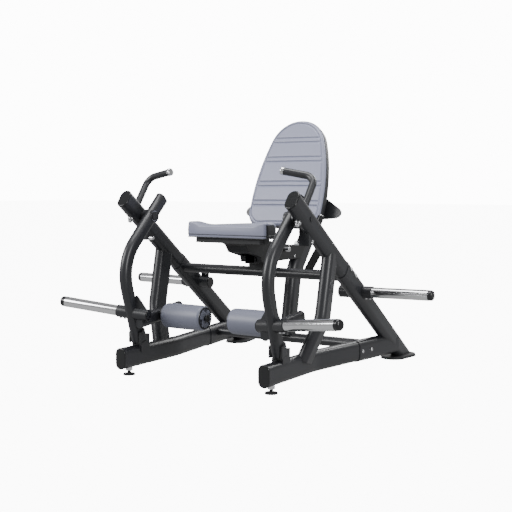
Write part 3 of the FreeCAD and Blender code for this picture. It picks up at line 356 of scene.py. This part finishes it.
def back_height(x, y):
    swell = 0.004 * (1 - (x / 0.21) ** 2)
    room = np.interp(y, right_edge[:, 1], right_edge[:, 0]) - BORDER - np.abs(x)
    ends = smooth_step(room, -0.002, 0.006)
    dip = np.zeros_like(x)
    for middle in CHANNELS:
        for line in (middle - PAIR_GAP, middle + PAIR_GAP):
            dip = dip + 0.0060 * np.exp(-((y - line) / 0.0040) ** 2)
    return swell - dip * ends - 0.004


back = padded_mesh("back_cushion_vinyl", back_outline, back_place, back_height, 0.056, 0.016,
                   rings=170, band=0.18, groove=(BORDER, 0.005, 0.0035))
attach(back, "frame")
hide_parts("back_cushion")
print("back", len(back.data.vertices), "vertices")

# %% [markdown]
# The face panels are joined to the sides by welts, thin tubes that follow the cushions' outlines.
# %% Welts
def welt(name, points, radius, material, body, closed=True):
    """A thin round piping along points, riding on a body."""
    curve = bpy.data.curves.new(name, "CURVE")
    curve.dimensions = "3D"
    curve.bevel_depth = radius
    curve.bevel_resolution = 3
    line = curve.splines.new("POLY")
    line.points.add(len(points) - 1)
    for knot, point in zip(line.points, points):
        knot.co = (*point, 1)
    line.use_cyclic_u = closed
    piping = bpy.data.objects.new(name, curve)
    bpy.context.scene.collection.objects.link(piping)
    piping.data.materials.append(material)
    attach(piping, body)
    return piping


def lifted(outline, place, height, grow=0.0):
    """An outline as points at one height of a placement, grown outward a little."""
    outline = np.array(outline)
    centre = np.array([0.0, outline[:, 1].mean()])
    away = outline - centre
    away = away / np.linalg.norm(away, axis=1)[:, None]
    return [place @ Vector((*point, height)) for point in outline + away * grow]


welt("seat_seam", lifted(seat_outline, seat_place, -0.0445, 0.0008), 0.0022, black_vinyl, "seat")
welt("seat_edge", lifted(seat_outline, seat_place, -0.0575, 0.0008), 0.0020, black_vinyl, "seat")
welt("back_welt", lifted(back_outline[::2], back_place, -0.021, 0.0012), 0.0022, black_vinyl, "frame")
print("welts made")

# %% [markdown]
# A shin roller is a moulded foam sleeve, slightly barrelled, with stepped plastic discs pressed into its
# ends. It is turned from a profile about the roller's axle.
# %% Rollers
def turned(name, profile, centre, material, steps=96):
    """A solid turned about a line along X, from (distance along X, radius) points."""
    verts, faces = [], []
    for along, radius in profile:
        for k in range(steps):
            angle = 2 * math.pi * k / steps
            verts.append((centre.x + along, centre.y + radius * math.cos(angle),
                          centre.z + radius * math.sin(angle)))
    for ring in range(len(profile) - 1):
        for k in range(steps):
            a, b = ring * steps + k, ring * steps + (k + 1) % steps
            faces.append((a, b, b + steps, a + steps))
    faces.append(tuple(range(steps - 1, -1, -1)))
    faces.append(tuple(range((len(profile) - 1) * steps, len(profile) * steps)))
    mesh = bpy.data.meshes.new(name)
    mesh.from_pydata(verts, [], faces)
    mesh.validate()
    mesh.shade_smooth()
    mesh.set_sharp_from_angle(angle=math.radians(35))
    mesh.materials.append(material)
    made = bpy.data.objects.new(name, mesh)
    bpy.context.scene.collection.objects.link(made)
    return made


ROLLER_HALF, ROLLER_RADIUS, SHOULDER = 0.112, 0.0597, 0.015


def foam_profile():
    """The outside of the foam from one end's disc to the other's."""
    points = [(-ROLLER_HALF, 0.0515), (-ROLLER_HALF, ROLLER_RADIUS - SHOULDER)]
    for turn in range(10, 91, 10):
        angle = math.radians(turn)
        points.append((-ROLLER_HALF + SHOULDER * (1 - math.cos(angle)),
                       ROLLER_RADIUS - SHOULDER + SHOULDER * math.sin(angle) - 0.0012))
    for share in np.linspace(-0.8, 0.8, 17):
        points.append((share * (ROLLER_HALF - SHOULDER), ROLLER_RADIUS - 0.0012 * share * share))
    points += [(-along, radius) for along, radius in reversed(points[:11])]
    return points


DISC_PROFILE = [(0.0, 0.0005), (0.0, 0.017), (0.001, 0.018), (0.006, 0.019), (0.006, 0.029), (0.005, 0.030),
                (0.001, 0.032), (0.001, 0.043), (0.0, 0.044), (-0.001, 0.050), (0.0005, 0.0518), (0.009, 0.0518)]
for side, sign in (("right", 1), ("left", -1)):
    middle = spot(sign * 188, 234, 267)
    foam = turned(side + "_roller_foam", foam_profile(), middle, foam_skin)
    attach(foam, side + "_roller")
    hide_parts(side + "_roller_pad")
    for end in (-1, 1):
        face = middle + Vector((end * (ROLLER_HALF - 0.0005), 0, 0))
        steps = [(-end * depth, radius) for depth, radius in DISC_PROFILE]
        edge = "inner" if end * sign < 0 else "outer"
        disc = turned(f"{side}_roller_disc_{edge}", steps, face, matt_plastic)
        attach(disc, side + "_roller")
print("rollers made")

# %% [markdown]
# The studio is white all round. Its floor lets most of the backdrop shine through, so only a trace of
# shadow stays on it. Large soft lights from the left, the right, above and behind draw bright stripes along
# the chrome and faint ones along the tubes.
# %% Studio
FLOOR_HALF = 40
ROOM_LIGHT = 0.42
BACKDROP_LIGHT = 16.0
floor_corners = [(x * FLOOR_HALF, y * FLOOR_HALF, 0) for x, y in ((-1, -1), (1, -1), (1, 1), (-1, 1))]
floor_mesh = bpy.data.meshes.new("studio_floor")
floor_mesh.from_pydata(floor_corners, [], [(0, 1, 2, 3)])
floor = bpy.data.objects.new("studio_floor", floor_mesh)
bpy.context.scene.collection.objects.link(floor)
floor_paint, shader = new_material("pale_floor", "#F4F4F4", 0.9, Alpha=0.16)
floor_mesh.materials.append(floor_paint)

world = bpy.data.worlds.new("bright_room")
bpy.context.scene.world = world
world.use_nodes = True
tree = world.node_tree
room = tree.nodes["Background"]
room.inputs["Color"].default_value = (1, 1, 1, 1)
room.inputs["Strength"].default_value = ROOM_LIGHT
backdrop = tree.nodes.new("ShaderNodeBackground")
backdrop.inputs["Strength"].default_value = BACKDROP_LIGHT
seen = tree.nodes.new("ShaderNodeLightPath")
choice = tree.nodes.new("ShaderNodeMixShader")
tree.links.new(seen.outputs["Is Camera Ray"], choice.inputs[0])
tree.links.new(room.outputs[0], choice.inputs[1])
tree.links.new(backdrop.outputs[0], choice.inputs[2])
tree.links.new(choice.outputs[0], tree.nodes["World Output"].inputs["Surface"])


def soft_light(name, place, size, power):
    """A square area light aimed at the middle of the machine."""
    lamp = bpy.data.lights.new(name, "AREA")
    lamp.shape = "RECTANGLE"
    lamp.size, lamp.size_y = size
    lamp.energy = power
    made = bpy.data.objects.new(name, lamp)
    bpy.context.scene.collection.objects.link(made)
    made.location = place
    made.rotation_mode = "QUATERNION"
    made.rotation_quaternion = (Vector((0, 0, 0.6)) - Vector(place)).to_track_quat("-Z", "Y")
    return made


soft_light("key_left", (-2.4, -3.4, 2.6), (2.4, 2.0), 170)
soft_light("fill_right", (4.0, -1.2, 1.9), (1.4, 2.4), 110)
soft_light("overhead", (0.2, -0.3, 3.6), (2.6, 1.6), 110)
soft_light("edge_back", (1.0, 3.6, 2.6), (3.0, 1.0), 90)
print("studio lit")

# %% [markdown]
# The camera stands to the right of the machine's front, at about head height for a seated person, and
# looks slightly down.
# %% Camera
AZIMUTH, ELEVATION = math.radians(32.08), math.radians(4.21)
SENSOR_MM, LENS_MM = 36, 66.84
camera_data = bpy.data.cameras.new("view")
camera_data.sensor_width = SENSOR_MM
camera_data.lens = LENS_MM
camera = bpy.data.objects.new("view", camera_data)
bpy.context.scene.collection.objects.link(camera)
camera.location = spot(2446.5, -3348.2, 879.3)
camera.rotation_mode = "QUATERNION"
aim = Vector((-math.sin(AZIMUTH) * math.cos(ELEVATION), math.cos(AZIMUTH) * math.cos(ELEVATION),
              -math.sin(ELEVATION)))
camera.rotation_quaternion = aim.to_track_quat("-Z", "Y")
bpy.context.scene.camera = camera
print("camera at", tuple(round(c, 3) for c in camera.location))
